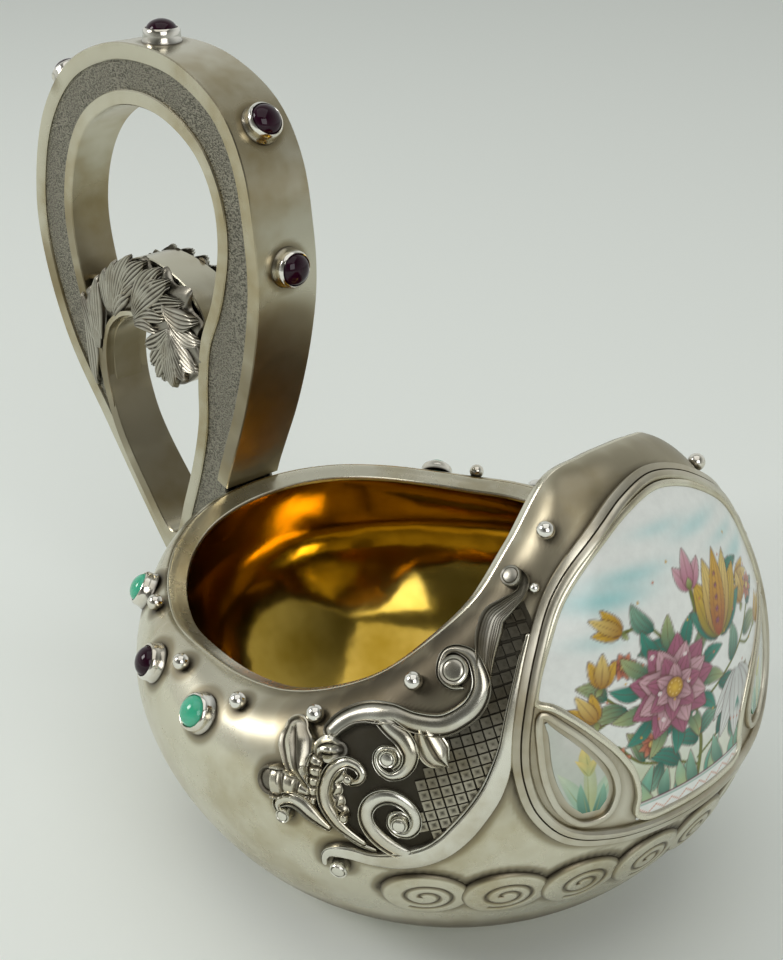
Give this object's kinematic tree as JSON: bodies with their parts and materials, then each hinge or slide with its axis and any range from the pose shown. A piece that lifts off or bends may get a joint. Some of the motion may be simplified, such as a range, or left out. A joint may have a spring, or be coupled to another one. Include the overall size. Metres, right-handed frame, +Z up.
{
  "type": "kovsh",
  "caption": "Round silver drinking bowl with a tall decorated prow, applied scrollwork and set stones, and a tall hollow loop handle with a thumb curl.",
  "frame": {"origin": "middle of the round flat under the bowl, on which it stands", "axes": "+X points to the prow, +Z is up, and +Y is the left flank of someone who holds the handle"},
  "size_m": [0.2578, 0.1606, 0.2023],
  "materials": {
    "silver": "hand-polished silver with a warm patina",
    "dark_silver": "oxidised silver with a fine matted texture",
    "white_enamel": "glossy painted enamel",
    "leaf_enamel": "glossy painted enamel",
    "garnet": "polished cabochon",
    "chrysoprase": "polished cabochon"
  },
  "bodies": {
    "root": {"bead_1_left": "silver", "bead_1_right": "silver", "bead_2_left": "silver", "bead_2_right": "silver", "bead_3_left": "silver", "bead_3_right": "silver", "bead_4_left": "silver", "bead_4_right": "silver", "bead_5_left": "silver", "bead_5_right": "silver", "bead_6_left": "silver", "bead_6_right": "silver", "border_scroll_left": "silver", "border_scroll_right": "silver", "bowl": "silver", "bowl_collet_back_left": "silver", "bowl_collet_back_right": "silver", "bowl_collet_front_left": "silver", "bowl_collet_front_right": "silver", "bowl_collet_middle_left": "silver", "bowl_collet_middle_right": "silver", "bowl_stone_back_left": "chrysoprase", "bowl_stone_back_right": "chrysoprase", "bowl_stone_front_left": "chrysoprase", "bowl_stone_front_right": "chrysoprase", "bowl_stone_middle_left": "garnet", "bowl_stone_middle_right": "garnet", "c_scroll_left": "silver", "c_scroll_right": "silver", "drop_enamel_left": "leaf_enamel", "drop_enamel_right": "leaf_enamel", "drop_frame_left": "silver", "drop_frame_right": "silver", "flank_ground_left": "dark_silver", "flank_ground_right": "dark_silver", "front_scroll_left": "silver", "front_scroll_right": "silver", "handle_collet_back": "silver", "handle_collet_lower": "silver", "handle_collet_top": "silver", "handle_collet_upper": "silver", "handle_curl": "silver", "handle_face_left": "dark_silver", "handle_face_right": "dark_silver", "handle_inner_strap": "silver", "handle_leaf_left": "dark_silver", "handle_leaf_right": "dark_silver", "handle_outer_strap": "silver", "handle_stone_back": "garnet", "handle_stone_lower": "garnet", "handle_stone_top": "garnet", "handle_stone_upper": "garnet", "lip_band": "silver", "picture_enamel": "white_enamel", "picture_frame": "silver", "shell_leaf_left": "silver", "shell_leaf_right": "silver", "small_bead_left": "silver", "small_bead_right": "silver", "wave_band": "silver"}
  },
  "joints": []
}
